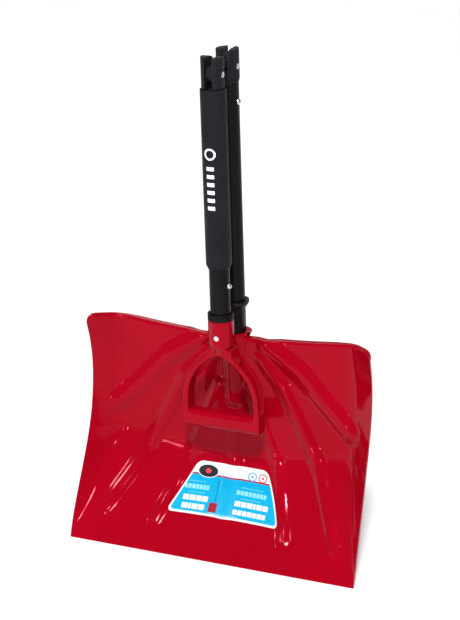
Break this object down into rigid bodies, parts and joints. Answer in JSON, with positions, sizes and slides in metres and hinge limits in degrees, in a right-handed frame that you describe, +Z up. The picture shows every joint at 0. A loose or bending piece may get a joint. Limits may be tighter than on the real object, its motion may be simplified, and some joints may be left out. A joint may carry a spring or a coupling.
{
  "type": "folding snow shovel",
  "caption": "Scoop-bladed snow shovel with a double-pivot folding tube handle, sliding lock sleeve and D-grip, shown folded and standing on its blade.",
  "frame": {"origin": "middle of the blade's bottom edge, on the floor", "axes": "+X across the blade, +Y from the scoop's open side to its back, +Z up along the folded handle"},
  "size_m": [0.457, 0.1489, 0.741],
  "materials": {
    "blade_red": "gloss",
    "label_print": "gloss",
    "adapter_black": "gloss",
    "tube_black": "satin",
    "knuckle_grey": "matte",
    "sleeve_grey": "matte",
    "mark_white": "matte",
    "grip_red": "gloss",
    "collar_black": "satin",
    "fastener_steel": "satin",
    "spring_steel": "satin"
  },
  "bodies": {
    "blade_section": {"blade": "blade_red", "blade_label": "label_print", "tube_adapter": "adapter_black", "socket_screw": "fastener_steel", "lower_tube": "tube_black", "lower_knuckle": "knuckle_grey", "lower_retaining_pin": "fastener_steel", "lower_pivot_rivet": "fastener_steel", "lower_button_spring": "spring_steel"},
    "link": {"hinge_link": "knuckle_grey"},
    "grip_section": {"upper_tube": "tube_black", "upper_knuckle": "knuckle_grey", "upper_retaining_pin": "fastener_steel", "upper_pivot_rivet": "fastener_steel", "upper_button_spring": "spring_steel", "grip_collar": "collar_black", "d_grip": "grip_red", "grip_screw": "fastener_steel"},
    "sleeve": {"lock_sleeve": "sleeve_grey", "sleeve_mark": "mark_white"},
    "lower_snap_button": {"lower_button": "fastener_steel"},
    "upper_snap_button": {"upper_button": "fastener_steel"}
  },
  "joints": [
    {"name": "lower_fold", "type": "hinge", "parent": "blade_section", "child": "link", "pos_m": [0, 0.1225, 0.716], "axis": [-1, 0, 0], "range_deg": [0, 90]},
    {"name": "upper_fold", "type": "hinge", "parent": "link", "child": "grip_section", "pos_m": [0, 0.0715, 0.716], "axis": [-1, 0, 0], "range_deg": [0, 90]},
    {"name": "sleeve_slide", "type": "slide", "parent": "grip_section", "child": "sleeve", "axis": [0, 0, 1], "range_m": [-0.022, 0.008]},
    {"name": "lower_button_press", "type": "slide", "parent": "blade_section", "child": "lower_snap_button", "axis": [-1, 0, 0], "range_m": [0, 0.0034], "stiffness_N_per_m": 1500, "springref_m": -0.003, "deforming": ["lower_button_spring"]},
    {"name": "upper_button_press", "type": "slide", "parent": "grip_section", "child": "upper_snap_button", "axis": [-1, 0, 0], "range_m": [0, 0.0034], "stiffness_N_per_m": 1500, "springref_m": -0.003, "deforming": ["upper_button_spring"]}
  ]
}
